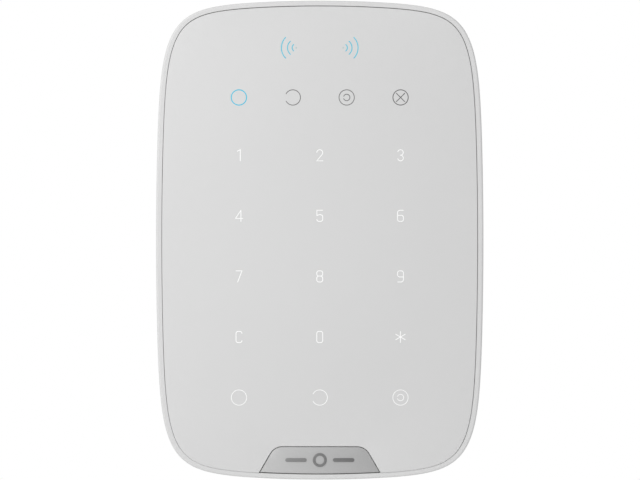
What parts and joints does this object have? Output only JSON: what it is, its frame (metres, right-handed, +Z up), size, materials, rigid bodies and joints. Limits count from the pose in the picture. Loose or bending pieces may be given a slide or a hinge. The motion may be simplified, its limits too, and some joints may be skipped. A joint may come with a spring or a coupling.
{
  "type": "alarm keypad panel",
  "caption": "Wall-mounted touch keypad with a bowed rounded front, backlit marks, a badge plate and a casing that slides off a wall bracket with hooks and a tamper switch.",
  "frame": {"origin": "middle of the wall bracket's flat back, on the wall plane", "axes": "+Z up the wall, along the keypad's length; +X across it; the keypad faces -Y and the wall is on the +Y side"},
  "size_m": [0.1128, 0.02, 0.165],
  "materials": {
    "panel": "satin, very fine texture, backlit marks",
    "badge": "fine metallic grain, satin",
    "adhesive": "foam tape",
    "film": "milky diffuser",
    "foam": "black closed-cell foam",
    "board": "green solder mask",
    "casing": "fine spark texture",
    "bracket": "moulded, matt",
    "label": "blank paper label",
    "screw": "zinc plated",
    "led": "clear resin over phosphor",
    "button": "moulded, matt",
    "spring": "nickel plated",
    "chip": "black epoxy",
    "can": "tinned shielding can",
    "copper": "bare copper",
    "cell": "plain printed sleeve"
  },
  "bodies": {
    "wall_bracket": {"wall_bracket": "bracket"},
    "keypad": {"front_panel": "panel", "badge_plate": "badge", "panel_adhesive": "adhesive", "diffuser_film": "film", "light_barrier": "foam", "touch_board": "board", "rear_housing": "casing", "blank_label": "label", "key_led_1": "led", "key_led_2": "led", "key_led_3": "led", "key_led_4": "led", "key_led_5": "led", "key_led_6": "led", "key_led_7": "led", "key_led_8": "led", "key_led_9": "led", "key_led_clear": "led", "key_led_0": "led", "key_led_star": "led", "key_led_arm": "led", "key_led_disarm": "led", "key_led_night": "led", "status_led_armed": "led", "status_led_disarmed": "led", "status_led_night": "led", "status_led_fault": "led", "reader_led_left": "led", "reader_led_right": "led", "tamper_switch": "chip", "power_switch": "chip", "cell_left_outer": "cell", "cell_left_inner": "cell", "cell_right_outer": "cell", "cell_right_inner": "cell", "positive_contact_left": "spring", "spring_contact_left": "spring", "bridge_contact_left": "spring", "positive_contact_right": "spring", "spring_contact_right": "spring", "bridge_contact_right": "spring", "microcontroller": "chip", "radio_module": "can", "reader_chip": "chip", "buzzer": "chip", "reader_antenna": "copper", "radio_antenna": "copper", "board_screw_1": "screw", "board_screw_2": "screw", "board_screw_3": "screw", "board_screw_4": "screw", "board_screw_5": "screw", "board_screw_6": "screw"},
    "tamper_plunger": {"tamper_plunger": "button", "tamper_spring": "spring"},
    "power_button": {"power_button": "button"},
    "lock_screw": {"lock_screw": "screw"}
  },
  "joints": [
    {"name": "keypad_slide", "type": "slide", "parent": "wall_bracket", "child": "keypad", "axis": [0, 0, 1], "range_m": [0, 0.006]},
    {"name": "tamper_slide", "type": "slide", "parent": "keypad", "child": "tamper_plunger", "axis": [0, 1, 0], "range_m": [0, 0.0012], "deforming": ["tamper_spring"]},
    {"name": "power_press", "type": "slide", "parent": "keypad", "child": "power_button", "axis": [0, -1, 0], "range_m": [0, 0.0005]},
    {"name": "lock_screw_slide", "type": "slide", "parent": "wall_bracket", "child": "lock_screw", "axis": [0, 0, -1], "range_m": [0, 0.005]}
  ],
  "couplings": [
    {"joint": "tamper_slide", "follows": "keypad_slide", "ratio": 0.2}
  ]
}
